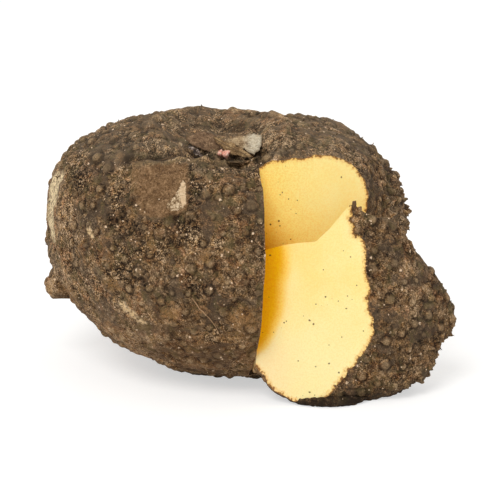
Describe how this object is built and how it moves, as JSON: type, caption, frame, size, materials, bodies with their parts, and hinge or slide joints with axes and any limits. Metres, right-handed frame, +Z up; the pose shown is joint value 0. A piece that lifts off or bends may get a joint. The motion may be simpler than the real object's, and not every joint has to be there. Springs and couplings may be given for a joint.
{
  "type": "elephant foot yam",
  "caption": "Squat, warty brown yam corm with a dished crown, its front shoulder cut away and the cut slice standing on its rind in the notch.",
  "frame": {"origin": "centre of the bounding box's underside, on the surface the yam rests on", "axes": "+Z up, from the rested base to the crown; +X to the right, along the longest extent, towards the cut slice; +Y to the back, away from the cut face"},
  "size_m": [0.2448, 0.1998, 0.1551],
  "materials": {
    "corm_rind": "dull, earthy, bark-like rind covered in small rounded warts",
    "corm_flesh": "moist, fine-grained cream to yellow starchy flesh with small dark specks",
    "bud": "smooth, waxy pink shoot tip",
    "dry_scale": "dry, papery, wrinkled remains of leaf scales",
    "root_thread": "dry, dull, thread-like rootlet"
  },
  "bodies": {
    "root": {"yam_corm": "corm_rind", "cut_slice": "corm_flesh", "apical_bud": "bud", "bud_scale_left": "dry_scale", "bud_scale_right": "dry_scale", "bud_scale_fold": "dry_scale", "bud_scale_curl": "dry_scale", "root_thread_front": "root_thread", "root_thread_crown": "root_thread"}
  },
  "joints": []
}
